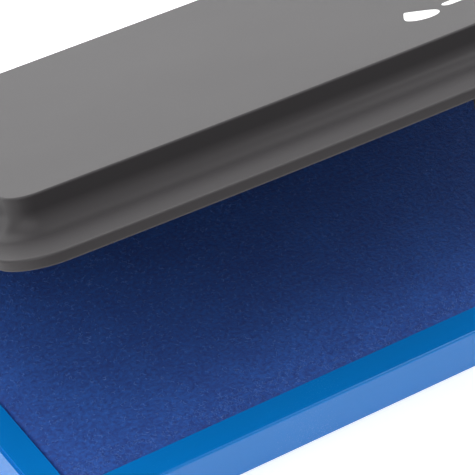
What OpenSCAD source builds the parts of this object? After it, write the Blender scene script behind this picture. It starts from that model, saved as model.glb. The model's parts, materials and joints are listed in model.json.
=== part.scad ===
// Hinged-lid ink pad: a moulded tray that holds a cloth-covered felt pad, and a
// stepped lid that swings on two short steel pins at the back.
// X runs along the long side, Y runs to the hinge side, Z is up.
// The origin is the middle of the tray's underside.

/* [Pad] */
// Length of the opening in the tray's rim
opening_l = 160; // [100:1:220]
// Depth of the opening, front to back
opening_d = 90; // [60:1:140]
// Corner radius of the opening
opening_r = 3.3; // [2:0.1:6]
// Gap between the pad and the opening, all round
pad_gap = 0.4; // [0.2:0.1:1]
// How far the pad's top lies below the rim
pad_drop = 0.3; // [0:0.1:1]
// Thickness of the cloth cover
cloth_t = 0.6; // [0.4:0.1:1]
// Width of the cloth's hem under the board
hem_w = 7; // [4:0.5:12]
// Thickness of the felt
felt_t = 2.8; // [2:0.1:5]
// Thickness of the stiff backing board
board_t = 1; // [0.6:0.1:2]

/* [Tray] */
// Width of the flat rim around the opening
rim_w = 5.2; // [4.5:0.1:8]
// Height of the tray
tray_h = 7.9; // [7:0.1:14]
// Outer wall thickness
wall_t = 1.8; // [1.2:0.1:2.2]
// Thickness of the wall between the rim's channel and the opening
curb_t = 1.4; // [1:0.1:2]
// Thickness of the rim's top
rim_t = 1.6; // [1.2:0.1:3]
// Thickness of the floor under the pad
floor_t = 1.4; // [1:0.1:1.8]
// Rounding of the rim's outer edge
rim_edge_r = 0.5; // [0.3:0.1:0.8]
// Thickness of the ribs under the floor
rib_t = 1.2; // [0.8:0.1:2]
// Largest distance between the ribs that run front to back
rib_pitch_x = 32; // [20:1:50]
// Largest distance between the ribs that run left to right
rib_pitch_y = 24; // [15:1:40]

/* [Lid] */
// Angle at which the lid stands open
lid_open = 26; // [0:0.1:110]
// Gap between the closed lid and the rim
lid_gap = 0.1; // [0.1:0.1:0.5]
// Thickness of the flat lip round the lid
lip_t = 1.9; // [1.4:0.1:3]
// Height of the raised panel above the lip
panel_h = 6; // [5:0.1:12]
// Wall thickness of the raised panel
panel_t = 1.8; // [1.2:0.1:2.4]
// Width of the lip at the front
lip_front_w = 13; // [8:0.5:20]
// Width of the lip at the sides
lip_side_w = 7; // [5:0.5:15]
// How far the lid's front corners stand out past the tray
lid_overhang = 2; // [1:0.1:5]
// How far the middle of the front edge bows out past its ends
lid_bow = 3; // [1:0.1:6]
// Radius of the lid's front corners
lid_corner_r = 8.5; // [4:0.5:15]
// Radius of the lid's back corners
lid_back_r = 3; // [1:0.5:6]
// Radius of the raised panel's corners
panel_corner_r = 4.2; // [2.5:0.1:10]
// Radius of the cove between the panel's side and the lip
cove_r = 3.5; // [1:0.1:4]
// Rounding of the lip's edges
lip_edge_r = 0.45; // [0.2:0.05:0.6]
// Rounding of the raised panel's edge
panel_edge_r = 0.4; // [0.2:0.05:1]

/* [Hinge] */
// Distance of each hinge from the middle
hinge_x = 52; // [35:1:65]
// Distance of the hinge axis from the tray's back face
hinge_inset = 3; // [3:0.1:5]
// Height of the hinge axis above the rim
hinge_lift = 1.2; // [1.1:0.1:2]
// Outer radius of the knuckles and ears
knuckle_r = 2.2; // [2:0.1:3]
// Width of the lid's knuckle
knuckle_w = 12; // [8:0.5:20]
// Width of each ear on the tray
ear_w = 4; // [3:0.5:6]
// Gap beside a knuckle
side_gap = 0.3; // [0.2:0.1:0.6]
// Gap between a knuckle and its pocket in the rim
pocket_gap = 0.3; // [0.2:0.1:0.6]
// Radius of the hinge pins
pin_r = 0.9; // [0.7:0.1:1.2]
// Radial clearance of the pins in the lid's knuckles
pin_clearance = 0.05; // [0.02:0.01:0.1]
// Radial interference of the pins in the tray's ears
pin_press = 0.01; // [0.01:0.01:0.03]
// How far each pin's ends lie inside the ears
pin_recess = 0.4; // [0.2:0.1:1]
// Opening angle at which the lid's arms come down on the rim
stop_angle = 115; // [95:1:125]

/* [Catch] */
// Width of the closing tab at the middle of the lid
catch_w = 4; // [3:0.5:20]
// Depth of the closing tab below the lip
catch_h = 3.4; // [2:0.1:5]
// Thickness of the closing tab
catch_t = 1.3; // [1:0.1:2]
// Gap between the tab and the tray's front
catch_gap = 0.5; // [0.4:0.1:1]
// Gap between the tab's bead and the tray's front
bead_gap = 0.15; // [0.1:0.05:0.3]

/* [Hidden] */
$fn = 64;
eps = 0.01;
// Steps in a corner, in the bowed front edge and in the cove
corner_steps = 8;
bow_steps = 16;
cove_steps = 6;

tray_l = opening_l + 2 * rim_w;
tray_d = opening_d + 2 * rim_w;
tray_r = opening_r + rim_w;
pad_l = opening_l - 2 * pad_gap;
pad_d = opening_d - 2 * pad_gap;
pad_r = opening_r - pad_gap;
// Smallest corner radius of the layers inside the cloth
sheet_r = 2;
pad_top = tray_h - pad_drop;
felt_z = pad_top - cloth_t - felt_t;
board_z = felt_z - board_t;
floor_z = board_z - cloth_t;

hinge_y = tray_d / 2 - hinge_inset;
hinge_z = tray_h + hinge_lift;
station_w = knuckle_w + 2 * side_gap + 2 * ear_w;
pin_l = station_w - 2 * pin_recess;

lid_z = tray_h + lid_gap;
lip_z = lid_z + lip_t;
panel_z = lip_z + panel_h;
lid_front = -tray_d / 2 - lid_overhang;
bow_r = (pow(tray_l / 2, 2) + pow(lid_bow, 2)) / (2 * lid_bow);
bow_y = lid_front - lid_bow + bow_r;
panel_back = hinge_y - cove_r - panel_edge_r;

// ---- Shapes ----

// Rectangle with round corners
module plate(l, d, r) {
    square([l, d - 2 * r], center = true);
    square([l - 2 * r, d], center = true);
    for (x = [-1, 1], y = [-1, 1]) translate([x * (l / 2 - r), y * (d / 2 - r)]) circle(r);
}

// Plate with thickness h whose top edge is rounded by e
module round_top(l, d, r, h, e) {
    linear_extrude(h - e) plate(l, d, r);
    linear_extrude(h) plate(l - 2 * e, d - 2 * e, r - e);
    for (x = [-1, 1], y = [-1, 1]) translate([x * (l / 2 - r), y * (d / 2 - r), h - e])
        rotate_extrude() translate([r - e, 0]) circle(e);
    for (y = [-1, 1]) translate([0, y * (d / 2 - e), h - e]) along_x(l - 2 * r) circle(e);
    for (x = [-1, 1]) translate([x * (l / 2 - e), 0, h - e]) rotate(90) along_x(d - 2 * r) circle(e);
}

module along_x(width) {
    translate([-width / 2, 0, 0]) rotate([90, 0, 90]) linear_extrude(width) children();
}

module at_hinges() {
    for (side = [-1, 1]) translate([side * hinge_x, hinge_y, hinge_z]) children();
}

// Positions of evenly spaced ribs across a width, none further apart than pitch
function rib_places(width, pitch) =
    let (n = 2 * ceil(width / pitch / 2))
    [for (i = [1 : n - 1]) (i / n - 0.5) * width];

function arc(centre, r, from, to, steps) =
    [for (i = [0 : steps]) let (a = from + (to - from) * i / steps) centre + r * [cos(a), sin(a)]];

// Outline with a bowed front, moved in by t: half length hl, front radius br,
// back edge, front corner radius r and back corner radius rb
function bowed(hl, br, back, r, rb, t) =
    let (x = hl - r, a = asin(x / (br - r)), y = bow_y - (br - r) * cos(a))
    let (bow = arc([0, bow_y], br - t, -90 - a, -90 + a, bow_steps))
    [
        each [for (i = [1 : bow_steps - 1]) bow[i]],
        each arc([x, y], r - t, -90 + a, 0, corner_steps),
        each arc([hl - rb, back - rb], rb - t, 0, 90, corner_steps),
        each arc([rb - hl, back - rb], rb - t, 90, 180, corner_steps),
        each arc([-x, y], r - t, 180, 270 - a, corner_steps)
    ];

function lip(t) = bowed(tray_l / 2, bow_r, hinge_y, lid_corner_r, lid_back_r, t);
function panel(t) = bowed(
    tray_l / 2 - lip_side_w, bow_r - lip_front_w, panel_back, panel_corner_r, panel_corner_r, t
);

function at_height(outline, z) = [for (p = outline) [p.x, p.y, z]];

// Solid whose skin runs through a list of outlines with the same number of points
module loft(rings) {
    n = len(rings[0]);
    m = len(rings);
    polyhedron(
        points = [for (ring = rings) each ring],
        faces = [
            [for (i = [0 : n - 1]) i],
            [for (i = [0 : n - 1]) m * n - 1 - i],
            for (k = [0 : m - 2], i = [0 : n - 1]) let (a = k * n, j = (i + 1) % n)
                each [[a + i, a + n + i, a + n + j], [a + i, a + n + j, a + j]]
        ]
    );
}

// ---- Tray ----

// Tray's outline, moved in by t
module tray_area(t) {
    plate(tray_l - 2 * t, tray_d - 2 * t, tray_r - t);
}

// Ribs under the floor, which also tie the two walls of the rim's channel
module tray_ribs() {
    for (x = rib_places(tray_l, rib_pitch_x)) translate([x, 0]) square([rib_t, tray_d], center = true);
    for (y = rib_places(tray_d, rib_pitch_y)) translate([0, y]) square([tray_l, rib_t], center = true);
}

module tray_underside() {
    // Channel under the rim, solid below the hinges
    translate([0, 0, -eps]) linear_extrude(tray_h - rim_t + eps) difference() {
        tray_area(wall_t);
        tray_area(rim_w - curb_t);
        tray_ribs();
        for (side = [-1, 1])
            translate([side * hinge_x, tray_d / 2]) square([station_w, 4 * rim_w], center = true);
    }
    // Hollows under the floor
    translate([0, 0, -eps]) linear_extrude(floor_z - floor_t + eps) difference() {
        tray_area(rim_w);
        tray_ribs();
    }
}

module ear() {
    along_x(ear_w) {
        circle(knuckle_r);
        translate([-knuckle_r, -hinge_lift - rim_t]) square([2 * knuckle_r, hinge_lift + rim_t]);
    }
}

module base_tray() {
    color("royalblue") difference() {
        union() {
            round_top(tray_l, tray_d, tray_r, tray_h, rim_edge_r);
            at_hinges() for (side = [-1, 1])
                translate([side * (knuckle_w + ear_w + 2 * side_gap) / 2, 0, 0]) ear();
        }
        translate([0, 0, floor_z]) linear_extrude(tray_h) tray_area(rim_w);
        tray_underside();
        at_hinges() {
            along_x(knuckle_w + 2 * side_gap) circle(knuckle_r + pocket_gap);
            along_x(station_w + 2 * eps) circle(pin_r - pin_press);
        }
    }
}

// ---- Pad ----

module pad_layer(z, t, inset) {
    translate([0, 0, z]) linear_extrude(t)
        plate(pad_l - 2 * inset, pad_d - 2 * inset, max(pad_r - inset, sheet_r));
}

module adhesive_sheet() {
    color("gainsboro") pad_layer(floor_z, cloth_t, cloth_t + hem_w);
}

module backing_board() {
    color("tan") pad_layer(board_z, board_t, cloth_t);
}

module felt_core() {
    color("midnightblue") pad_layer(felt_z, felt_t, cloth_t);
}

// Cloth over the felt, down the sides and turned in under the board
module pad_cloth() {
    color("navy") difference() {
        pad_layer(floor_z, pad_top - floor_z, 0);
        pad_layer(board_z, board_t + felt_t, cloth_t);
        pad_layer(floor_z - eps, cloth_t + 2 * eps, cloth_t + hem_w);
    }
}

// ---- Hinge pins ----

module hinge_pin(side) {
    color("silver") translate([side * hinge_x, hinge_y, hinge_z])
        rotate([0, 90, 0]) cylinder(r = pin_r, h = pin_l, center = true);
}

module hinge_pin_left() {
    hinge_pin(-1);
}

module hinge_pin_right() {
    hinge_pin(1);
}

// ---- Lid ----

// Turns what is drawn for a closed lid to where the lid stands open
module opened() {
    translate([0, hinge_y, hinge_z]) rotate([-lid_open, 0, 0]) translate([0, -hinge_y, -hinge_z])
        children();
}

// Lip, cove and raised panel as one smooth outer shape
module lid_body() {
    loft([
        at_height(lip(lip_edge_r), lid_z),
        at_height(lip(0), lid_z + lip_edge_r),
        at_height(lip(0), lip_z - lip_edge_r),
        at_height(lip(lip_edge_r), lip_z),
        for (k = [0 : cove_steps]) let (a = 90 * k / cove_steps)
            at_height(panel(cove_r * (sin(a) - 1)), lip_z + cove_r * (1 - cos(a))),
        at_height(panel(0), panel_z - panel_edge_r),
        at_height(panel(panel_edge_r), panel_z)
    ]);
}

// Knuckle with the arm that joins it to the lip; the arm's top edge is the stop
module lid_arm() {
    reach = hinge_y - panel_back + panel_t / 2;
    stop = hinge_lift / -cos(stop_angle);
    along_x(knuckle_w) {
        circle(knuckle_r);
        translate([-reach, lid_z - hinge_z]) square([reach, stop - lid_z + hinge_z]);
    }
}

// Room in the lid for one of the tray's ears
module ear_room() {
    r = knuckle_r + pocket_gap;
    along_x(ear_w + 2 * side_gap) {
        circle(r);
        translate([-r, 0]) square([2 * r, panel_h]);
    }
}

// Tab that hangs behind the front lip, with a bead that rubs on the tray's front
module closing_tab() {
    back = -tray_d / 2 - catch_gap;
    bead_r = catch_gap - bead_gap;
    along_x(catch_w) {
        translate([back - catch_t, lid_z - catch_h]) square([catch_t, catch_h + eps]);
        translate([back, lid_z - catch_h + 2 * bead_r]) circle(bead_r);
    }
}

module lid_cavity() {
    translate([0, 0, lid_z - eps]) linear_extrude(panel_z - panel_t - lid_z + eps)
        polygon(panel(panel_t));
}

module lid_shell() {
    color("dimgray") opened() difference() {
        union() {
            lid_body();
            at_hinges() lid_arm();
            closing_tab();
        }
        lid_cavity();
        at_hinges() {
            for (side = [-1, 1])
                translate([side * (knuckle_w + ear_w + 2 * side_gap) / 2, 0, 0]) ear_room();
            along_x(knuckle_w + 2 * eps) circle(pin_r + pin_clearance);
        }
    }
}

base_tray();
adhesive_sheet();
backing_board();
felt_core();
pad_cloth();
hinge_pin_left();
hinge_pin_right();
lid_shell();
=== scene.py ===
"""Looks of a hinged-lid ink pad: moulded tray, inked cloth pad, stepped lid and its two hinge pins.

Every size is in metres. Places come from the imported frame: the tray's box, the hinge joint and the pad's box.
"""
import json
import logging
import math
import random
from dataclasses import dataclass, field
from enum import Enum

import bmesh
import bpy
from mathutils import Matrix, Vector, noise
from mathutils.kdtree import KDTree


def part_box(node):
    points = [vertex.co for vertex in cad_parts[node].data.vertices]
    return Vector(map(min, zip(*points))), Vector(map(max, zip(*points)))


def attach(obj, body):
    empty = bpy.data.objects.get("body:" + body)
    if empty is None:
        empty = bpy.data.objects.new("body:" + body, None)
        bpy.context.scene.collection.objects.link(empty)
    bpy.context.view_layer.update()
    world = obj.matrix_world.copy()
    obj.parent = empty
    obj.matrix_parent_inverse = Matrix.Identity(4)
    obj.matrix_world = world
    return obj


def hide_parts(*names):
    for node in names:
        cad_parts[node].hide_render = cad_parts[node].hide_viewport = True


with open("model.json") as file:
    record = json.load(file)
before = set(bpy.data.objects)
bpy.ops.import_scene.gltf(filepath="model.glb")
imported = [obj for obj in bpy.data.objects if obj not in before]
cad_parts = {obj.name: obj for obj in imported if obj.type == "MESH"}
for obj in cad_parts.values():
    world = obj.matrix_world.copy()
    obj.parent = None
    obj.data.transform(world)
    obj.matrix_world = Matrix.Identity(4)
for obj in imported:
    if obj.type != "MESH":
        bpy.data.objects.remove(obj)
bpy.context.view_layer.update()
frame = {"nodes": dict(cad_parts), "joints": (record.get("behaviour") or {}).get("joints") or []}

LOG = logging.getLogger("ink_pad")
Colour = tuple[float, float, float]
Outline = list[tuple[float, float]]
# Faces that meet at more than this many radians make an edge that can be rounded
SHARP = 1.0
# Points closer in height than this, in metres, are level
LEVEL = 1e-6


class Body(Enum):
    """Bodies that the pieces ride on."""

    BASE = "base"
    LID = "lid"


class Slot(Enum):
    """Material slots of the record."""

    BLUE = "blue_plastic"
    GREY = "grey_plastic"
    CLOTH = "inked_cloth"
    FELT = "inked_felt"
    BOARD = "backing_card"
    TAPE = "adhesive_foam"
    STEEL = "pin_steel"


# ---------------------------------------------------------------- finishes


class NodeSheet:
    """A new material with helpers that add shader nodes to it."""

    def __init__(self, name: str) -> None:
        """Starts the material and its surface shader.

        Args:
            name: Name of the material.
        """
        self.material = bpy.data.materials.new(name)
        self.material.use_nodes = True
        self.nodes = self.material.node_tree.nodes
        self.links = self.material.node_tree.links
        self.nodes.clear()
        self.shader = self.nodes.new("ShaderNodeBsdfPrincipled")
        output = self.nodes.new("ShaderNodeOutputMaterial")
        self.links.new(self.shader.outputs["BSDF"], output.inputs["Surface"])
        self.place = self.nodes.new("ShaderNodeTexCoord").outputs["Object"]

    def set(self, **values: float | tuple) -> None:
        """Sets constant shader sockets.

        Args:
            values: Value of each socket; an underscore in its name stands for a space.
        """
        for name, value in values.items():
            self.shader.inputs[name.replace("_", " ")].default_value = value

    def stretched(self, scale: Colour) -> bpy.types.NodeSocket:
        """Object coordinates, scaled differently along each axis.

        Args:
            scale: Factor along X, Y and Z.

        Returns:
            The scaled coordinates.
        """
        node = self.nodes.new("ShaderNodeMapping")
        node.inputs["Scale"].default_value = scale
        self.links.new(self.place, node.inputs["Vector"])
        return node.outputs["Vector"]

    def noise(self, grain: float, detail: float = 3.0, rough: float = 0.5,
              place: bpy.types.NodeSocket | None = None) -> bpy.types.NodeSocket:
        """Fractal noise.

        Args:
            grain: Size of its largest features, in metres.
            detail: Number of finer octaves.
            rough: Strength of the finer octaves.
            place: Coordinates it reads, the object's own where left out.

        Returns:
            Its value from 0 to 1.
        """
        node = self.nodes.new("ShaderNodeTexNoise")
        node.inputs["Scale"].default_value = 1 / grain
        node.inputs["Detail"].default_value = detail
        node.inputs["Roughness"].default_value = rough
        self.links.new(place or self.place, node.inputs["Vector"])
        return node.outputs["Fac"]

    def spread(self, value: bpy.types.NodeSocket, low: float, high: float,
               to: tuple[float, float] = (0.0, 1.0)) -> bpy.types.NodeSocket:
        """Maps a stretch of a value onto another range, clamped.

        Args:
            value: Value to map.
            low: Lower end of its stretch.
            high: Upper end of its stretch.
            to: Range that comes out.

        Returns:
            The mapped value.
        """
        node = self.nodes.new("ShaderNodeMapRange")
        node.inputs["From Min"].default_value = low
        node.inputs["From Max"].default_value = high
        node.inputs["To Min"].default_value = to[0]
        node.inputs["To Max"].default_value = to[1]
        self.links.new(value, node.inputs["Value"])
        return node.outputs["Result"]

    def blend(self, share: bpy.types.NodeSocket, first: Colour, second: Colour) -> bpy.types.NodeSocket:
        """Mixes two colours.

        Args:
            share: Share of the second colour, from 0 to 1.
            first: Colour at 0.
            second: Colour at 1.

        Returns:
            The mixed colour.
        """
        node = self.nodes.new("ShaderNodeMix")
        node.data_type = "RGBA"
        self.links.new(share, node.inputs["Factor"])
        node.inputs["A"].default_value = (*first, 1.0)
        node.inputs["B"].default_value = (*second, 1.0)
        return node.outputs["Result"]

    def join(self, first: bpy.types.NodeSocket, second: bpy.types.NodeSocket,
             how: str = "ADD") -> bpy.types.NodeSocket:
        """Combines two values with a math node.

        Args:
            first: First value.
            second: Second value.
            how: Operation of the math node.

        Returns:
            The combined value.
        """
        node = self.nodes.new("ShaderNodeMath")
        node.operation = how
        self.links.new(first, node.inputs[0])
        self.links.new(second, node.inputs[1])
        return node.outputs[0]

    def bump(self, height: bpy.types.NodeSocket, depth: float) -> None:
        """Raises the surface's shading by a height map.

        Args:
            height: Height from 0 to 1.
            depth: Depth of the relief in metres.
        """
        node = self.nodes.new("ShaderNodeBump")
        node.inputs["Distance"].default_value = depth
        self.links.new(height, node.inputs["Height"])
        self.links.new(node.outputs["Normal"], self.shader.inputs["Normal"])

    def drive(self, socket: str, value: bpy.types.NodeSocket) -> None:
        """Feeds a shader socket from a varying value.

        Args:
            socket: Name of the socket.
            value: Value that drives it.
        """
        self.links.new(value, self.shader.inputs[socket])


def lighter(colour: Colour, factor: float) -> Colour:
    """Makes a colour lighter, or darker where the factor is below 1.

    Args:
        colour: Colour to start from.
        factor: What each of its parts is multiplied by.

    Returns:
        The new colour.
    """
    return tuple(part * factor for part in colour)


@dataclass(frozen=True)
class MouldedPlastic:
    """Injection-moulded plastic with a fine grain over slow, cloudy changes of colour."""

    name: str
    colour: Colour
    roughness: float
    grain: float = 0.00022
    cloud: float = 0.03
    depth: float = 0.000004
    variation: float = 0.06
    wear: float = 0.03
    ior: float = 1.5
    coat: float = 0.0
    coat_roughness: float = 0.3
    tint: Colour = (1.0, 1.0, 1.0)

    def material(self) -> bpy.types.Material:
        """Builds the material.

        Returns:
            The finished material.
        """
        sheet = NodeSheet(self.name)
        cloudy = sheet.noise(self.cloud, detail=2)
        grain = sheet.noise(self.grain, detail=2)
        dark, light = lighter(self.colour, 1 - self.variation), lighter(self.colour, 1 + self.variation)
        sheet.drive("Base Color", sheet.blend(cloudy, dark, light))
        polish = (self.roughness - self.wear, self.roughness + self.wear)
        sheet.drive("Roughness", sheet.spread(sheet.join(cloudy, grain), 0.6, 1.4, polish))
        sheet.bump(grain, self.depth)
        sheet.set(IOR=self.ior, Specular_Tint=(*self.tint, 1.0))
        sheet.set(Coat_Weight=self.coat, Coat_Roughness=self.coat_roughness)
        return sheet.material


@dataclass(frozen=True)
class InkedCloth:
    """Napped cloth soaked with ink, its colour darker between the fibres as painted shade and lighter on their
    tips as a painted highlight; the shader adds a blue sheen.
    """

    name: str
    ink_shaded_hollow: Colour
    ink_lit_tip: Colour
    fibre: float = 0.00075
    patch: float = 0.009
    roughness: tuple[float, float] = (0.6, 0.85)
    sheen: float = 0.5
    sheen_tint: Colour = (0.28, 0.42, 0.85)

    def material(self) -> bpy.types.Material:
        """Builds the material.

        Returns:
            The finished material.
        """
        sheet = NodeSheet(self.name)
        curl = sheet.noise(self.fibre, detail=4, rough=0.65)
        patchy = sheet.spread(sheet.noise(self.patch, detail=3), 0.3, 0.7, (-0.05, 0.05))
        lit_tip_share = sheet.spread(sheet.join(curl, patchy), 0.36, 0.8)
        # Painted light: the ink colour is darker in the hollows of the fibre noise (painted shade) and lighter
        # on its raised tips (painted highlight); the patchy part is random tone
        sheet.drive("Base Color", sheet.blend(lit_tip_share, self.ink_shaded_hollow, self.ink_lit_tip))
        sheet.drive("Roughness", sheet.spread(curl, 0.35, 0.65, self.roughness))
        sheet.bump(curl, self.fibre * 0.3)
        sheet.set(Sheen_Weight=self.sheen, Sheen_Roughness=0.45, Sheen_Tint=(*self.sheen_tint, 1.0))
        return sheet.material


@dataclass(frozen=True)
class FibreBoard:
    """Matt sheet material with a fine fibre mottle: board, felt or foam."""

    name: str
    colour: Colour
    fibre: float
    roughness: tuple[float, float] = (0.79, 0.91)

    def material(self) -> bpy.types.Material:
        """Builds the material.

        Returns:
            The finished material.
        """
        sheet = NodeSheet(self.name)
        fibres = sheet.noise(self.fibre, detail=4, place=sheet.stretched((1.0, 0.35, 1.0)))
        sheet.drive("Base Color", sheet.blend(fibres, lighter(self.colour, 0.7), lighter(self.colour, 1.25)))
        sheet.drive("Roughness", sheet.spread(fibres, 0.3, 0.7, self.roughness))
        sheet.bump(fibres, self.fibre * 0.2)
        return sheet.material


@dataclass(frozen=True)
class DrawnSteel:
    """Steel wire with fine drawing lines along X."""

    name: str
    colour: Colour = (0.58, 0.58, 0.6)
    line: float = 0.0002
    depth: float = 0.000003
    roughness: tuple[float, float] = (0.22, 0.38)

    def material(self) -> bpy.types.Material:
        """Builds the material.

        Returns:
            The finished material.
        """
        sheet = NodeSheet(self.name)
        lines = sheet.noise(self.line, detail=3, place=sheet.stretched((0.02, 1.0, 1.0)))
        sheet.drive("Base Color", sheet.blend(lines, lighter(self.colour, 0.85), self.colour))
        sheet.drive("Roughness", sheet.spread(lines, 0.3, 0.7, self.roughness))
        sheet.bump(lines, self.depth)
        sheet.set(Metallic=1.0)
        return sheet.material


FINISHES = {
    Slot.BLUE: MouldedPlastic("blue_plastic", (0.0, 0.192, 0.61), 0.26, variation=0.03, ior=1.55),
    Slot.GREY: MouldedPlastic("grey_plastic", (0.0285, 0.0265, 0.0285), 0.66, depth=0.000006, ior=1.43,
                              coat=0.18, tint=(1.0, 0.95, 0.965)),
    # Inked cloth: the first colour holds painted shade between the fibres, the second a painted highlight on
    # their tips
    Slot.CLOTH: InkedCloth("inked_cloth", (0.009, 0.045, 0.27), (0.02, 0.135, 0.57)),
    Slot.FELT: FibreBoard("inked_felt", (0.012, 0.02, 0.1), 0.0008),
    Slot.BOARD: FibreBoard("backing_card", (0.42, 0.34, 0.24), 0.001),
    Slot.TAPE: FibreBoard("adhesive_foam", (0.7, 0.7, 0.67), 0.0005),
    Slot.STEEL: DrawnSteel("pin_steel"),
}
MATERIALS = {slot: finish.material() for slot, finish in FINISHES.items()}
# Loose fibres: the same painted shade in the hollows and painted highlight on the tips
LOOSE_FIBRE = InkedCloth("loose_fibre", (0.05, 0.14, 0.46), (0.17, 0.31, 0.76), fibre=0.003).material()
WHITE_PRINT = MouldedPlastic("white_print", (0.86, 0.86, 0.85), 0.5, grain=0.0001, depth=0.000003).material()


def dress(piece: bpy.types.Object, finish: Slot | bpy.types.Material) -> None:
    """Gives an object a finish.

    Args:
        piece: Object to dress.
        finish: Slot whose finish it takes, or a material of its own.
    """
    piece.data.materials.clear()
    piece.data.materials.append(MATERIALS[finish] if isinstance(finish, Slot) else finish)


# ---------------------------------------------------------------- mesh helpers


def arc(centre: tuple[float, float], radius: float, start: float, end: float, steps: int) -> Outline:
    """Points along a circle.

    Args:
        centre: Its centre.
        radius: Its radius.
        start: Angle of the first point, in radians.
        end: Angle of the last point, in radians.
        steps: Number of equal steps between them.

    Returns:
        The points, in order.
    """
    angles = (start + (end - start) * i / steps for i in range(steps + 1))
    return [(centre[0] + radius * math.cos(a), centre[1] + radius * math.sin(a)) for a in angles]


def round_off(bm: bmesh.types.BMesh, edges: list[bmesh.types.BMEdge], radius: float, segments: int) -> None:
    """Rounds edges.

    Args:
        bm: Mesh that changes.
        edges: Edges to round.
        radius: Radius of the rounding.
        segments: Number of its steps.
    """
    bmesh.ops.bevel(bm, geom=edges, offset=radius, segments=segments, profile=0.5, affect="EDGES",
                    material=-1)


def block(bm: bmesh.types.BMesh, low: Vector, high: Vector, edge: float = 0.0) -> None:
    """Adds a box, with rounded edges where edge is above 0.

    Args:
        bm: Mesh that it joins.
        low: Its lowest corner.
        high: Its highest corner.
        edge: Radius of its edges.
    """
    verts = bmesh.ops.create_cube(bm, size=1.0)["verts"]
    bmesh.ops.scale(bm, vec=high - low, verts=verts)
    bmesh.ops.translate(bm, vec=(low + high) / 2, verts=verts)
    if edge > 0:
        round_off(bm, list({e for v in verts for e in v.link_edges}), edge, 3)


def rod_along_x(bm: bmesh.types.BMesh, centre: Vector, radius: float, width: float,
                segments: int = 48) -> None:
    """Adds a cylinder along X.

    Args:
        bm: Mesh that it joins.
        centre: Its middle.
        radius: Its radius.
        width: Its length along X.
        segments: Number of its sides.
    """
    turn = Matrix.Translation(centre) @ Matrix.Rotation(math.pi / 2, 4, "Y")
    bmesh.ops.create_cone(bm, cap_ends=True, segments=segments, radius1=radius, radius2=radius,
                          depth=width, matrix=turn)


def new_object(bm: bmesh.types.BMesh, name: str) -> bpy.types.Object:
    """Turns a bmesh into an object in the scene.

    Args:
        bm: Finished mesh, which is freed.
        name: Name of the object.

    Returns:
        The new object.
    """
    mesh = bpy.data.meshes.new(name)
    bm.to_mesh(mesh)
    bm.free()
    piece = bpy.data.objects.new(name, mesh)
    bpy.context.scene.collection.objects.link(piece)
    return piece


def carve(piece: bpy.types.Object, tool: bmesh.types.BMesh, how: str) -> None:
    """Joins a mesh to a piece, or cuts it away, and applies the result.

    Args:
        piece: Object that changes.
        tool: Mesh that is joined or cut away, which is freed.
        how: UNION or DIFFERENCE.
    """
    other = new_object(tool, "tool")
    modifier = piece.modifiers.new("carve", "BOOLEAN")
    modifier.operation = how
    modifier.solver = "EXACT"
    modifier.object = other
    bake_modifiers(piece)
    bpy.data.objects.remove(other)


def bake_modifiers(piece: bpy.types.Object) -> None:
    """Applies every modifier of a piece to its mesh.

    Args:
        piece: Object that changes.
    """
    graph = bpy.context.evaluated_depsgraph_get()
    mesh = bpy.data.meshes.new_from_object(piece.evaluated_get(graph))
    piece.modifiers.clear()
    old = piece.data
    piece.data = mesh
    bpy.data.meshes.remove(old)
    mesh.name = piece.name


def smooth_hard(piece: bpy.types.Object, angle: float = 35.0) -> None:
    """Shades a hard piece: smooth round its bevels, flat on its faces, sharp past an angle.

    Args:
        piece: Object to shade.
        angle: Sharpest angle, in degrees, that is still smooth.
    """
    stale = piece.data.attributes.get("custom_normal")
    if stale:
        piece.data.attributes.remove(stale)
    piece.data.shade_smooth()
    piece.data.set_sharp_from_angle(angle=math.radians(angle))
    weighted = piece.modifiers.new("weighted", "WEIGHTED_NORMAL")
    weighted.keep_sharp = True
    weighted.weight = 80


def place_on(piece: bpy.types.Object, body: Body, slot: Slot, *nodes: str) -> None:
    """Dresses a piece, lets it ride on a body and lets it stand for CAD nodes.

    Args:
        piece: Finished object.
        body: Body that it rides on.
        slot: Slot whose finish it takes.
        nodes: CAD nodes that it replaces.
    """
    dress(piece, slot)
    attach(piece, body.value)
    if nodes:
        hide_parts(*nodes)


# ---------------------------------------------------------------- shared places


@dataclass(frozen=True)
class Hinge:
    """Sizes and place of the two hinges that join the lid to the tray."""

    y: float
    z: float
    rest: float
    x: float = 0.052
    knuckle_r: float = 0.0022
    knuckle_w: float = 0.012
    ear_w: float = 0.004
    side_gap: float = 0.0003
    pocket_gap: float = 0.0003
    bore_r: float = 0.00095
    stop: float = math.radians(115)

    @classmethod
    def from_frame(cls) -> "Hinge":
        """Reads the axis and the rest angle from the frame's only joint.

        Returns:
            The hinge in its place.
        """
        joint = frame["joints"][0]
        return cls(joint["pos_m"][1], joint["pos_m"][2], math.radians(-joint["range_deg"][0]))

    def stations(self) -> list[Vector]:
        """Finds the middle of each hinge.

        Returns:
            The middles, from left to right.
        """
        return [Vector((side * self.x, self.y, self.z)) for side in (-1, 1)]

    def opening(self) -> Matrix:
        """Turns the closed lid to where it stands at rest.

        Returns:
            The turn about the hinge's axis.
        """
        to_axis = Matrix.Translation((0, self.y, self.z))
        return to_axis @ Matrix.Rotation(-self.rest, 4, "X") @ to_axis.inverted()


HINGE = Hinge.from_frame()
TRAY_LOW, TRAY_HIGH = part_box("base_tray")
# The top of the rim, which the tray's ears rise above
TRAY_HEIGHT = 0.0079


# ---------------------------------------------------------------- lid


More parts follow.
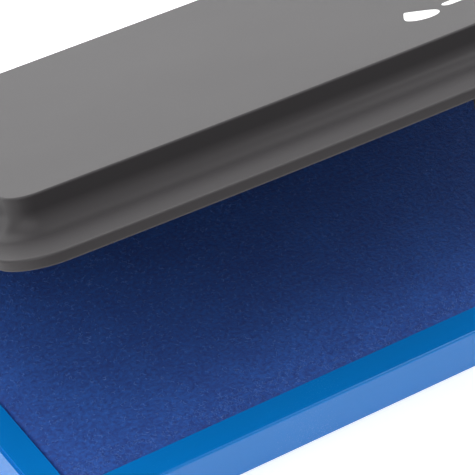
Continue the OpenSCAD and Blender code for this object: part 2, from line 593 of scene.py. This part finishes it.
@dataclass
class Lid:
    """Dark grey lid: flat lip, cove, raised panel, knuckles and closing tab, hollow inside."""

    gap: float = 0.0001
    lip_t: float = 0.0019
    panel_h: float = 0.006
    wall_t: float = 0.0018
    front_w: float = 0.013
    side_w: float = 0.007
    overhang: float = 0.002
    bow: float = 0.003
    corner_r: float = 0.0085
    back_r: float = 0.003
    panel_r: float = 0.0042
    cove_r: float = 0.0035
    lip_edge: float = 0.00045
    panel_edge: float = 0.0004
    catch: Vector = field(default_factory=lambda: Vector((0.004, 0.0013, 0.0034)))
    catch_edge: float = 0.0002
    catch_gap: float = 0.0005
    bead_gap: float = 0.00015
    corner_steps: int = 12
    bow_steps: int = 40
    cove_steps: int = 12
    edge_steps: int = 4

    def __post_init__(self) -> None:
        """Works out the closed lid's heights and the arc of its front edge."""
        self.half = (TRAY_HIGH.x - TRAY_LOW.x) / 2
        self.low = TRAY_HEIGHT + self.gap
        self.lip_top = self.low + self.lip_t
        self.top = self.lip_top + self.panel_h
        self.front = TRAY_LOW.y - self.overhang
        self.bow_r = (self.half**2 + self.bow**2) / (2 * self.bow)
        self.bow_y = self.front - self.bow + self.bow_r
        self.panel_back = HINGE.y - self.cove_r - self.panel_edge

    def bowed(self, half: float, bow_r: float, back: float, r: float, rb: float) -> Outline:
        """Outline with a bowed front edge and round corners, anticlockwise.

        Args:
            half: Half its length.
            bow_r: Radius of the front edge.
            back: Y of the back edge.
            r: Radius of its front corners.
            rb: Radius of its back corners.

        Returns:
            The outline's points.
        """
        x = half - r
        lean = math.asin(x / (bow_r - r))
        y = self.bow_y - (bow_r - r) * math.cos(lean)
        right = math.pi / 2
        front = arc((0, self.bow_y), bow_r, -right - lean, -right + lean, self.bow_steps)
        return [
            *front[1:-1],
            *arc((x, y), r, -right + lean, 0, self.corner_steps),
            *arc((half - rb, back - rb), rb, 0, right, self.corner_steps),
            *arc((rb - half, back - rb), rb, right, 2 * right, self.corner_steps),
            *arc((-x, y), r, 2 * right, 3 * right - lean, self.corner_steps),
        ]

    def lip(self) -> Outline:
        """Draws the outline of the lip.

        Returns:
            The outline's points.
        """
        return self.bowed(self.half, self.bow_r, HINGE.y, self.corner_r, self.back_r)

    def panel(self, inset: float = 0.0) -> Outline:
        """Draws the outline of the raised panel.

        Args:
            inset: Distance that it is moved in by.

        Returns:
            The outline's points.
        """
        return self.bowed(self.half - self.side_w - inset, self.bow_r - self.front_w - inset,
                          self.panel_back - inset, self.panel_r - inset, self.panel_r - inset)

    def shell(self) -> bmesh.types.BMesh:
        """Closed shell, built ring by ring from the ceiling of the hollow to the top of the panel.

        Returns:
            The shell with its edges and its cove rounded.
        """
        inside = self.panel(self.wall_t)
        rings = [
            (inside, self.top - self.wall_t),
            (inside, self.low),
            (self.lip(), self.low),
            (self.lip(), self.lip_top),
            (self.panel(), self.lip_top),
            (self.panel(), self.top),
        ]
        bm = bmesh.new()
        outline, z = rings[0]
        verts = [bm.verts.new((x, y, z)) for x, y in outline]
        bm.faces.new(verts)
        for outline, z in rings[1:]:
            edges = [bm.edges.get((verts[i - 1], verts[i])) for i in range(len(verts))]
            made = bmesh.ops.extrude_edge_only(bm, edges=edges)["geom"]
            fresh = {v for v in made if isinstance(v, bmesh.types.BMVert)}
            verts = [next(e.other_vert(v) for e in v.link_edges if e.other_vert(v) in fresh) for v in verts]
            for vert, (x, y) in zip(verts, outline):
                vert.co = (x, y, z)
        bm.faces.new(verts)
        bmesh.ops.recalc_face_normals(bm, faces=bm.faces)
        self.round_edges(bm, self.lip_top, False, self.cove_r, self.cove_steps)
        self.round_edges(bm, self.top, True, self.panel_edge, self.edge_steps)
        self.round_edges(bm, self.lip_top, True, self.lip_edge, self.edge_steps)
        self.round_edges(bm, self.low, True, self.lip_edge, self.edge_steps)
        self.round_edges(bm, self.top - self.wall_t, False, self.wall_t / 2, self.edge_steps)
        return bm

    @staticmethod
    def round_edges(bm: bmesh.types.BMesh, z: float, convex: bool, radius: float, segments: int) -> None:
        """Rounds the level edges at one height where faces meet sharply.

        Args:
            bm: Mesh that changes.
            z: Height of the edges.
            convex: Whether the outward or the inward corners are meant.
            radius: Radius of the rounding.
            segments: Number of its steps.
        """
        chosen = [
            e for e in bm.edges
            if all(abs(v.co.z - z) < LEVEL for v in e.verts)
            and e.calc_face_angle(0) > SHARP and e.is_convex == convex
        ]
        round_off(bm, chosen, radius, segments)

    def arms(self) -> bmesh.types.BMesh:
        """Makes the arms that join the knuckles to the lip.

        Returns:
            The arms, whose top edges meet the tray's rim when the lid reaches its stop.
        """
        bm = bmesh.new()
        reach = HINGE.y - self.panel_back + self.wall_t / 2
        stop = (HINGE.z - TRAY_HEIGHT) / -math.cos(HINGE.stop)
        for middle in HINGE.stations():
            half = HINGE.knuckle_w / 2
            low = Vector((middle.x - half, middle.y - reach, self.low))
            high = Vector((middle.x + half, middle.y, middle.z + stop))
            block(bm, low, high)
        return bm

    def knuckles(self) -> bmesh.types.BMesh:
        """Makes the round knuckles on the hinge axis.

        Returns:
            The knuckles, one at each hinge.
        """
        bm = bmesh.new()
        for middle in HINGE.stations():
            rod_along_x(bm, middle, HINGE.knuckle_r, HINGE.knuckle_w)
        return bm

    def tab(self) -> bmesh.types.BMesh:
        """Makes the closing tab that hangs below the front lip, ahead of the tray.

        Returns:
            The tab, its edges rounded.
        """
        bm = bmesh.new()
        back = TRAY_LOW.y - self.catch_gap
        width, thick, drop = self.catch
        block(bm, Vector((-width / 2, back - thick, self.low - drop)),
              Vector((width / 2, back, self.low + self.lip_t / 2)), self.catch_edge)
        return bm

    def bead(self) -> bmesh.types.BMesh:
        """Makes the bead on the closing tab, a little narrower than the tab.

        Returns:
            The bead, a rod along X.
        """
        bm = bmesh.new()
        radius = self.catch_gap - self.bead_gap
        centre = Vector((0, TRAY_LOW.y - self.catch_gap, self.low - self.catch.z + 2 * radius))
        rod_along_x(bm, centre, radius, self.catch.x * 0.9, segments=16)
        return bm

    def clearances(self) -> bmesh.types.BMesh:
        """Makes the room that the tray's ears take out of the lid.

        Returns:
            The blocks to cut away, one for each ear.
        """
        bm = bmesh.new()
        radius = HINGE.knuckle_r + HINGE.pocket_gap
        shift = (HINGE.knuckle_w + HINGE.ear_w + 2 * HINGE.side_gap) / 2
        half = HINGE.ear_w / 2 + HINGE.side_gap
        low, high = Vector((-half, -radius, -radius)), Vector((half, radius, self.panel_h))
        for middle in HINGE.stations():
            for side in (-1, 1):
                centre = middle + Vector((side * shift, 0, 0))
                block(bm, centre + low, centre + high)
        return bm

    def bores(self) -> bmesh.types.BMesh:
        """Makes the rods that bore the knuckles for the pins, longer than the knuckles.

        Returns:
            The rods to cut away, one for each knuckle.
        """
        bm = bmesh.new()
        for middle in HINGE.stations():
            rod_along_x(bm, middle, HINGE.bore_r, HINGE.knuckle_w * 1.2, segments=32)
        return bm

    def build(self) -> list[bpy.types.Object]:
        """Builds the lid in its open rest place.

        Returns:
            The lid, in one piece.
        """
        piece = new_object(self.shell(), "lid_moulding")
        carve(piece, self.arms(), "UNION")
        carve(piece, self.clearances(), "DIFFERENCE")
        carve(piece, self.knuckles(), "UNION")
        carve(piece, self.tab(), "UNION")
        carve(piece, self.bead(), "UNION")
        carve(piece, self.bores(), "DIFFERENCE")
        piece.data.transform(HINGE.opening())
        smooth_hard(piece)
        place_on(piece, Body.LID, Slot.GREY, "lid_shell")
        return [piece]


@dataclass
class PanelPrint:
    """White print on the panel: an ink drop and a plain rounded bar."""

    left: float = 0.0045
    middle: float = -0.0245
    drop_r: float = 0.0031
    drop_h: float = 0.0084
    bar_l: float = 0.046
    bar_w: float = 0.0026
    bar_gap: float = 0.00338
    taper: float = 0.6
    thick: float = 0.00003
    sunk: float = 0.000009

    def drop(self) -> bmesh.types.BMesh:
        """Draws the flat ink drop, round below and pointed above.

        Returns:
            The drop, as one flat face.
        """
        bm = bmesh.new()
        ring = bmesh.ops.create_circle(bm, segments=64, radius=self.drop_r, cap_ends=True)["verts"]
        tall = self.drop_h - 2 * self.drop_r
        for vert in ring:
            up = max(0.0, vert.co.y / self.drop_r)
            vert.co.y += tall * up**2
            vert.co.x *= 1 - self.taper * up**2
        bmesh.ops.translate(bm, vec=(self.left + self.drop_r, self.middle - tall / 2, 0), verts=ring)
        return bm

    def bar(self) -> bmesh.types.BMesh:
        """Draws the flat bar with round ends.

        Returns:
            The bar, as one flat face.
        """
        bm = bmesh.new()
        ring = bmesh.ops.create_circle(bm, segments=32, radius=self.bar_w / 2, cap_ends=True)["verts"]
        for vert in ring:
            vert.co.x += self.bar_l if vert.co.x > 0 else 0.0
        start = self.left + 2 * self.drop_r + self.bar_gap
        bmesh.ops.translate(bm, vec=(start, self.middle, 0), verts=ring)
        return bm

    def build(self) -> list[bpy.types.Object]:
        """Builds the print on the open lid.

        Returns:
            The drop and the bar.
        """
        marks = []
        for name, bm in (("print_drop", self.drop()), ("print_bar", self.bar())):
            bmesh.ops.solidify(bm, geom=bm.faces[:], thickness=self.thick)
            bmesh.ops.recalc_face_normals(bm, faces=bm.faces)
            lift = Lid().top + self.thick - self.sunk - max(v.co.z for v in bm.verts)
            bmesh.ops.translate(bm, vec=(0, 0, lift), verts=bm.verts)
            mark = new_object(bm, name)
            mark.data.transform(HINGE.opening())
            dress(mark, WHITE_PRINT)
            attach(mark, Body.LID.value)
            marks.append(mark)
        return marks


# ---------------------------------------------------------------- tray and pad


@dataclass
class Tray:
    """Blue tray: a merged copy of the moulding, shaded smooth round its edges."""

    merge: float = 1e-6

    def build(self) -> list[bpy.types.Object]:
        """Builds the tray.

        Returns:
            The tray, in one piece.
        """
        bm = bmesh.new()
        bm.from_mesh(frame["nodes"]["base_tray"].data)
        bmesh.ops.remove_doubles(bm, verts=bm.verts, dist=self.merge)
        piece = new_object(bm, "tray_moulding")
        smooth_hard(piece)
        place_on(piece, Body.BASE, Slot.BLUE, "base_tray")
        return [piece]


@dataclass
class InkPad:
    """Cloth-covered pad: a cover drawn tight over felt and board, and the loose fibres of its nap."""

    cell: float = 0.0019
    cuts: int = 2
    roll: float = 0.0011
    roll_steps: int = 4
    corner_r: float = 0.0029
    cloth_t: float = 0.0006
    hem_w: float = 0.007
    crown: float = 0.00016
    nap: float = 0.00009
    grain: float = 0.0008
    free_depth: float = 0.002
    nap_depth: float = 0.0016
    long_share: float = 0.6
    frames: int = 16
    quality: int = 4
    pressure: float = 4.0
    stiffness: float = 30.0
    bending: float = 2.0
    cloth_mass: float = 0.2
    fibres: int = 9200
    fibre_r: float = 0.000033
    bends: tuple[float, ...] = (0.00018, 0.00026, 0.00036)
    curl_turn: float = math.pi * 0.9
    curl_steps: int = 3
    lean: tuple[float, float] = (45, 85)
    fibre_inset: float = 0.0006
    front_share: float = 0.15
    front_band: float = 0.9
    seed: int = 7

    def __post_init__(self) -> None:
        """Reads the cover's box from the frame."""
        self.low, self.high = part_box("pad_cloth")

    def cover(self) -> bmesh.types.BMesh:
        """Makes the cover before it is drawn tight: top with rolled edges, sides and hem.

        Returns:
            The outer surface, open inside the hem.
        """
        half_x, half_y = self.high.x, self.high.y
        bm = bmesh.new()
        bmesh.ops.create_grid(bm, x_segments=round(2 * half_x / self.cell),
                              y_segments=round(2 * half_y / self.cell), size=1.0)
        top = self.high.z - self.crown - self.nap
        for vert in bm.verts:
            x, y = vert.co.x * half_x, vert.co.y * half_y
            over_x, over_y = abs(x) - half_x + self.corner_r, abs(y) - half_y + self.corner_r
            if over_x > 0 and over_y > 0:
                pull = max(over_x, over_y) / math.hypot(over_x, over_y)
                x = math.copysign(half_x - self.corner_r + over_x * pull, x)
                y = math.copysign(half_y - self.corner_r + over_y * pull, y)
            vert.co = (x, y, top)
        bottom = self.low.z
        rim = [e for e in bm.edges if e.is_boundary]
        rim = self.turn_down(bm, rim, bottom - top, 0.0)
        self.turn_down(bm, rim, 0.0, self.hem_w)
        sharp = [e for e in bm.edges if not e.is_boundary and e.calc_face_angle(0) > SHARP]
        round_off(bm, sharp, self.roll, self.roll_steps)
        bmesh.ops.recalc_face_normals(bm, faces=bm.faces)
        return bm

    def turn_down(self, bm: bmesh.types.BMesh, rim: list[bmesh.types.BMEdge], drop: float,
                  inset: float) -> list[bmesh.types.BMEdge]:
        """Extrudes the open edge downwards or inwards.

        Args:
            bm: Mesh that changes.
            rim: Edges of the open edge.
            drop: Distance along Z.
            inset: Distance towards the middle.

        Returns:
            The new open edge.
        """
        made = bmesh.ops.extrude_edge_only(bm, edges=rim)["geom"]
        fresh = [v for v in made if isinstance(v, bmesh.types.BMVert)]
        for vert in fresh:
            vert.co.x -= math.copysign(inset, vert.co.x) * (abs(vert.co.x) > self.high.x - self.corner_r)
            vert.co.y -= math.copysign(inset, vert.co.y) * (abs(vert.co.y) > self.high.y - self.corner_r)
            vert.co.z += drop
        return [e for e in made if isinstance(e, bmesh.types.BMEdge) and e.is_boundary]

    def draw_tight(self, piece: bpy.types.Object) -> None:
        """Lets the felt push the cover up by a short cloth simulation, and caps how far it moves.

        Args:
            piece: Flat cover, which takes the simulated shape.
        """
        flat = [v.co.copy() for v in piece.data.vertices]
        pinned = piece.vertex_groups.new(name="held")
        held = [v.index for v in piece.data.vertices if v.co.z < self.high.z - self.free_depth]
        pinned.add(held, 1.0, "REPLACE")
        cloth = piece.modifiers.new("cloth", "CLOTH").settings
        cloth.vertex_group_mass = "held"
        cloth.quality = self.quality
        cloth.mass = self.cloth_mass
        cloth.tension_stiffness = cloth.compression_stiffness = self.stiffness
        cloth.bending_stiffness = self.bending
        cloth.use_pressure = True
        cloth.uniform_pressure_force = self.pressure
        cloth.effector_weights.gravity = 0
        scene = bpy.context.scene
        for frame_number in range(1, self.frames + 1):
            scene.frame_set(frame_number)
        bake_modifiers(piece)
        scene.frame_set(1)
        moved = [v.co - rest for v, rest in zip(piece.data.vertices, flat)]
        largest = max(step.length for step in moved)
        LOG.info("cover moved %.2f mm before its cap", largest * 1000)
        share = min(1.0, self.crown / largest) if largest > 0 else 0.0
        for vert, rest, step in zip(piece.data.vertices, flat, moved):
            vert.co = rest + step * share
        piece.vertex_groups.clear()

    def raise_nap(self, piece: bpy.types.Object) -> None:
        """Refines the cover, raises its nap and gives it its thickness.

        Args:
            piece: Drawn cover.
        """
        bm = bmesh.new()
        bm.from_mesh(piece.data)
        long = [e for e in bm.edges if e.calc_length() > self.cell * self.long_share]
        bmesh.ops.subdivide_edges(bm, edges=long, cuts=self.cuts, use_grid_fill=True, smooth=0.0)
        bm.normal_update()
        for vert in bm.verts:
            if vert.co.z > self.high.z - self.nap_depth:
                tuft = noise.fractal(vert.co / self.grain, 0.6, 2.0, 3)
                vert.co += vert.normal * self.nap * max(-1.0, min(1.0, tuft))
        bm.to_mesh(piece.data)
        bm.free()
        solid = piece.modifiers.new("thickness", "SOLIDIFY")
        solid.thickness = self.cloth_t
        solid.offset = -1
        bake_modifiers(piece)
        piece.data.shade_smooth()

    def curl(self, bend: float) -> bpy.types.Mesh:
        """Makes one curled fibre: a thin three-sided thread spun through an arc.

        Args:
            bend: Radius of its arc.

        Returns:
            Its mesh, with the middle of its arc at the origin.
        """
        bm = bmesh.new()
        ring = bmesh.ops.create_circle(bm, segments=3, radius=self.fibre_r, cap_ends=True)
        bmesh.ops.translate(bm, vec=(bend, 0, 0), verts=ring["verts"])
        bmesh.ops.spin(bm, geom=bm.faces[:], cent=(0, 0, 0), axis=(0, -1, 0), angle=self.curl_turn,
                       steps=self.curl_steps, use_merge=False, use_duplicate=False)
        bmesh.ops.recalc_face_normals(bm, faces=bm.faces)
        mesh = bpy.data.meshes.new("curl")
        bm.to_mesh(mesh)
        bm.free()
        return mesh

    def fuzz(self, cover: bpy.types.Object) -> bpy.types.Object:
        """Scatters loose fibres that stand out of the nap, denser along the front edge.

        Args:
            cover: Finished cover that they lie on.

        Returns:
            All the fibres as one piece.
        """
        draw = random.Random(self.seed)
        tree = KDTree(len(cover.data.vertices))
        for vert in cover.data.vertices:
            tree.insert(vert.co, vert.index)
        tree.balance()
        curls = [self.curl(bend) for bend in self.bends]
        half_x, half_y = self.high.x - self.fibre_inset, self.high.y - self.fibre_inset
        bm = bmesh.new()
        for _ in range(self.fibres):
            x = half_x * draw.uniform(-1, 1)
            anywhere = draw.random() < 1 - self.front_share
            y = half_y * (draw.uniform(-1, 1) if anywhere else -draw.uniform(self.front_band, 1))
            spot = tree.find(Vector((x, y, self.high.z)))[0]
            turn = Matrix.Rotation(draw.uniform(0, math.tau), 4, "Z") @ Matrix.Rotation(
                math.radians(draw.uniform(*self.lean)), 4, "X")
            place = Matrix.Translation(spot) @ turn
            curl = curls[draw.randrange(len(curls))].copy()
            curl.transform(place)
            bm.from_mesh(curl)
            bpy.data.meshes.remove(curl)
        return new_object(bm, "pad_fuzz")

    def build(self) -> list[bpy.types.Object]:
        """Builds the pad's cover and fuzz, and dresses the layers that the CAD frame holds.

        Returns:
            The cover and its loose fibres.
        """
        cover = new_object(self.cover(), "pad_cover")
        self.draw_tight(cover)
        self.raise_nap(cover)
        place_on(cover, Body.BASE, Slot.CLOTH, "pad_cloth")
        fuzz = self.fuzz(cover)
        place_on(fuzz, Body.BASE, Slot.CLOTH)
        dress(fuzz, LOOSE_FIBRE)
        for node, slot in (("felt_core", Slot.FELT), ("backing_board", Slot.BOARD),
                           ("adhesive_sheet", Slot.TAPE)):
            dress(frame["nodes"][node], slot)
        return [cover, fuzz]


@dataclass
class HingePins:
    """The two steel pins, as the frame holds them."""

    def build(self) -> list[bpy.types.Object]:
        """Dresses the pins.

        Returns:
            The two pins.
        """
        pins = [frame["nodes"][name] for name in ("hinge_pin_left", "hinge_pin_right")]
        for pin in pins:
            dress(pin, Slot.STEEL)
        return pins


# ---------------------------------------------------------------- studio


@dataclass(frozen=True)
class Softbox:
    """Soft square light: azimuth from the front towards the right, elevation above the floor, power, side."""

    name: str
    azimuth: float
    elevation: float
    watts: float
    size: float = 1.4


@dataclass
class Studio:
    """Pale floor, even surroundings, soft lights and the camera."""

    camera_place: Vector = field(default_factory=lambda: Vector((-0.22177, -0.30921, 0.30554)))
    azimuth: float = math.radians(33.185)
    elevation: float = math.radians(39.55)
    roll: float = math.radians(-0.10)
    lens: float = 203.06
    world: float = 0.3
    glow: float = 0.32
    floor_half: float = 6.0
    floor_drop: float = 0.00005
    distance: float = 1.6
    lamps: tuple[Softbox, ...] = (
        Softbox("left_front_box", 315, 55, 2.6),
        Softbox("left_box", 270, 55, 8.0),
        Softbox("left_low_box", 270, 22, 5.5),
        Softbox("right_low_box", 90, 22, 18.0),
        Softbox("right_back_box", 135, 32, 11.0),
        Softbox("back_box", 180, 22, 9.5),
        Softbox("high_back_box", 225, 62, 10.0, size=2.4),
        Softbox("edge_strip", 70, 56, 2.2, size=0.35),
    )

    def floor(self) -> None:
        """Pale floor under the object, which gives off a little light."""
        sheet = NodeSheet("floor")
        cloudy = sheet.noise(0.4, detail=2)
        sheet.drive("Base Color", sheet.blend(cloudy, (0.94, 0.94, 0.94), (0.96, 0.96, 0.96)))
        sheet.set(Roughness=0.7, Emission_Color=(1.0, 1.0, 1.0, 1.0), Emission_Strength=self.glow)
        bm = bmesh.new()
        bmesh.ops.create_grid(bm, x_segments=2, y_segments=2, size=self.floor_half)
        bmesh.ops.translate(bm, vec=(0, 0, -self.floor_drop), verts=bm.verts)
        floor = new_object(bm, "floor")
        floor.data.materials.append(sheet.material)

    def sky(self) -> None:
        """Even white surroundings."""
        world = bpy.data.worlds.new("studio")
        world.use_nodes = True
        world.node_tree.nodes["Background"].inputs["Color"].default_value = (1, 1, 1, 1)
        world.node_tree.nodes["Background"].inputs["Strength"].default_value = self.world
        bpy.context.scene.world = world

    def lamp(self, box: Softbox) -> None:
        """Adds a light that looks at the object.

        Args:
            box: Place, power and size of the light.
        """
        round_, up = math.radians(box.azimuth), math.radians(box.elevation)
        place = self.distance * Vector((math.sin(round_) * math.cos(up), -math.cos(round_) * math.cos(up),
                                        math.sin(up)))
        light = bpy.data.lights.new(box.name, "AREA")
        light.size = box.size
        light.energy = box.watts
        lamp = bpy.data.objects.new(box.name, light)
        lamp.matrix_world = Matrix.Translation(place) @ (-place).to_track_quat("-Z", "Y").to_matrix().to_4x4()
        bpy.context.scene.collection.objects.link(lamp)

    def camera(self) -> None:
        """Camera in front of and to the left of the object, looking down on it."""
        data = bpy.data.cameras.new("camera")
        data.lens = self.lens
        data.sensor_width = 36
        data.clip_start = 0.01
        camera = bpy.data.objects.new("camera", data)
        turn = (Matrix.Rotation(-self.azimuth, 4, "Z") @ Matrix.Rotation(math.pi / 2 - self.elevation, 4, "X")
                @ Matrix.Rotation(self.roll, 4, "Z"))
        camera.matrix_world = Matrix.Translation(self.camera_place) @ turn
        bpy.context.scene.collection.objects.link(camera)
        bpy.context.scene.camera = camera

    def build(self) -> list[bpy.types.Object]:
        """Builds the studio.

        Returns:
            An empty list, because the studio isn't part of the object.
        """
        self.camera()
        self.floor()
        self.sky()
        for box in self.lamps:
            self.lamp(box)
        bpy.context.scene.view_settings.view_transform = "Standard"
        return []


def main() -> None:
    """Builds the studio and each sub-assembly in order, and reports each piece."""
    logging.basicConfig(level=logging.INFO, format="%(message)s")
    for part in (Studio(), Tray(), InkPad(), HingePins(), Lid(), PanelPrint()):
        for piece in part.build():
            LOG.info("%s: %s, %d faces", type(part).__name__, piece.name, len(piece.data.polygons))


if __name__ == "__main__":
    main()
